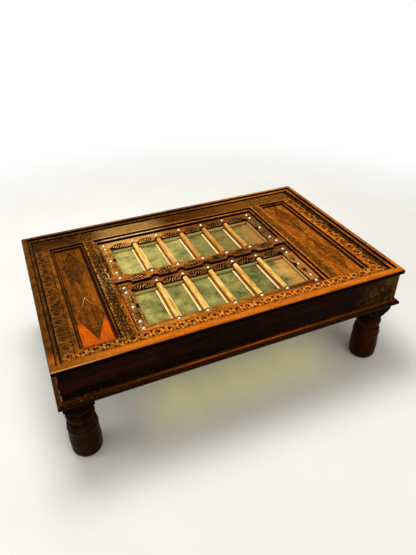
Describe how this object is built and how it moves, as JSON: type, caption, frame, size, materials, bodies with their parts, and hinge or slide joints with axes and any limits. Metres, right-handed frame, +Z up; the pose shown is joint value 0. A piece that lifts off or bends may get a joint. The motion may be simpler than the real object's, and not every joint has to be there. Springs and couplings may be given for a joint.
{
  "type": "coffee table",
  "caption": "Low coffee table with an old carved timber window as its top: studded, barred and glazed shutters between carved end panels, on a plain box with turned legs.",
  "frame": {"origin": "on the floor, under the middle of the table", "axes": "+X along the length to the right, +Y to the back, +Z up"},
  "size_m": [1.212, 0.784, 0.423],
  "materials": {
    "rim_wood": "worn wax",
    "frame_wood": "carved, worn wax",
    "panel_wood": "carved, worn wax",
    "shutter_wood": "carved, worn wax",
    "bar_wood": "worn pale by hands",
    "apron_wood": "dark wax",
    "moulding_wood": "dark wax",
    "leg_wood": "dark wax",
    "hidden_wood": "bare",
    "pane_glass": "clear",
    "stud_metal": "worn bright",
    "pin_iron": "dull"
  },
  "bodies": {
    "table": {"apron_back": "apron_wood", "apron_front": "apron_wood", "apron_left": "apron_wood", "apron_right": "apron_wood", "base_moulding_back": "moulding_wood", "base_moulding_front": "moulding_wood", "base_moulding_left": "moulding_wood", "base_moulding_right": "moulding_wood", "corner_block_back_left": "hidden_wood", "corner_block_back_right": "hidden_wood", "corner_block_front_left": "hidden_wood", "corner_block_front_right": "hidden_wood", "end_stile_left": "frame_wood", "end_stile_right": "frame_wood", "frame_rail_back": "frame_wood", "frame_rail_front": "frame_wood", "leg_back_left": "leg_wood", "leg_back_right": "leg_wood", "leg_front_left": "leg_wood", "leg_front_right": "leg_wood", "middle_stile_left": "frame_wood", "middle_stile_right": "frame_wood", "panel_beads_left": "panel_wood", "panel_beads_right": "panel_wood", "panel_left": "panel_wood", "panel_right": "panel_wood", "rim_back": "rim_wood", "rim_front": "rim_wood", "rim_left": "rim_wood", "rim_right": "rim_wood", "window_bead_back": "frame_wood", "window_bead_front": "frame_wood", "window_bead_left": "frame_wood", "window_bead_right": "frame_wood"},
    "back_shutter": {"back_shutter_bars": "bar_wood", "back_shutter_battens": "hidden_wood", "back_shutter_end_rail_left": "shutter_wood", "back_shutter_end_rail_right": "shutter_wood", "back_shutter_glass": "pane_glass", "back_shutter_hinge_stile": "shutter_wood", "back_shutter_laths": "shutter_wood", "back_shutter_meeting_stile": "shutter_wood", "back_shutter_pins": "pin_iron", "back_shutter_studs": "stud_metal", "cover_strip": "shutter_wood", "cover_strip_studs": "stud_metal"},
    "front_shutter": {"front_shutter_bars": "bar_wood", "front_shutter_battens": "hidden_wood", "front_shutter_end_rail_left": "shutter_wood", "front_shutter_end_rail_right": "shutter_wood", "front_shutter_glass": "pane_glass", "front_shutter_hinge_stile": "shutter_wood", "front_shutter_laths": "shutter_wood", "front_shutter_meeting_stile": "shutter_wood", "front_shutter_pins": "pin_iron", "front_shutter_studs": "stud_metal"}
  },
  "joints": [
    {"name": "back_shutter_hinge", "type": "hinge", "parent": "table", "child": "back_shutter", "pos_m": [0, 0.2518, 0.381], "axis": [-1, 0, 0], "range_deg": [0, 95]},
    {"name": "front_shutter_hinge", "type": "hinge", "parent": "table", "child": "front_shutter", "pos_m": [0, -0.2828, 0.381], "axis": [1, 0, 0], "range_deg": [0, 95]}
  ]
}
